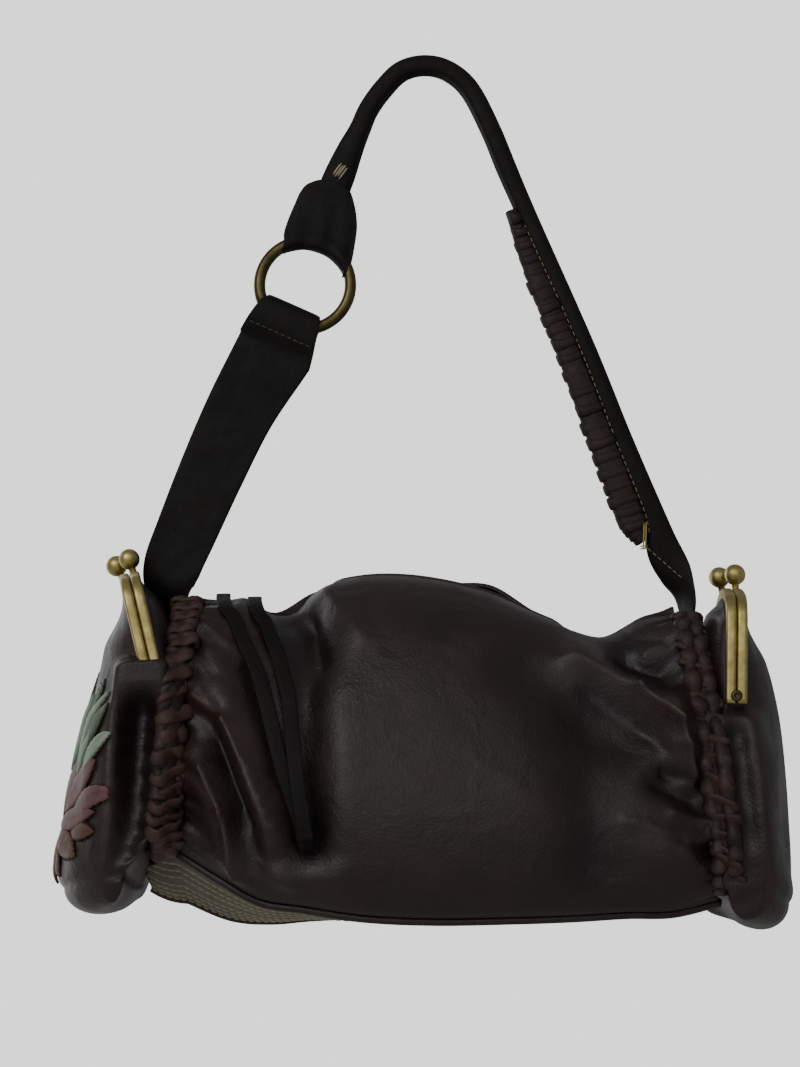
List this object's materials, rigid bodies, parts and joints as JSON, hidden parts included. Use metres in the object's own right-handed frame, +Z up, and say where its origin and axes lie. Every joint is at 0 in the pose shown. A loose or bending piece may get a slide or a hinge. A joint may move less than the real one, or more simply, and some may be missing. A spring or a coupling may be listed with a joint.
{
  "type": "leather shoulder handbag",
  "caption": "Slouchy barrel shoulder bag of dark brown leather with gathered, laced ends, framed ball-clasp end purses, and a strap joined by a brass ring.",
  "frame": {"origin": "underside of the strap's crest, where the strap bears on what it hangs from", "axes": "+X along the bag to its right end, +Y to its back, +Z up"},
  "size_m": [0.3001, 0.12, 0.3738],
  "materials": {
    "leather_body": "glossy pull-up leather",
    "leather_strap": "satin leather",
    "leather_lacing": "satin thong",
    "brass_frame": "antique, polished",
    "brass_ring": "antique, darkened"
  },
  "bodies": {
    "bag": {"body_wrap": "leather_body", "base_panel": "leather_body", "left_purse": "leather_body", "right_purse": "leather_body", "strap_flat": "leather_strap", "strap_tab": "leather_strap", "strap_handle": "leather_strap", "tie_long": "leather_strap", "tie_short": "leather_strap", "piping_front": "leather_strap", "piping_back": "leather_strap", "left_lacing": "leather_lacing", "right_lacing": "leather_lacing", "strap_lacing": "leather_lacing", "left_frame_outer": "brass_frame", "left_frame_inner": "brass_frame", "left_hinge_front": "brass_frame", "left_hinge_back": "brass_frame", "right_frame_outer": "brass_frame", "right_frame_inner": "brass_frame", "right_hinge_front": "brass_frame", "right_hinge_back": "brass_frame"},
    "ring": {"o_ring": "brass_ring"}
  },
  "joints": [
    {"name": "ring_spin", "type": "hinge", "parent": "bag", "child": "ring", "pos_m": [-0.0516, 0, -0.0943], "axis": [0, 1, 0], "continuous": true}
  ]
}
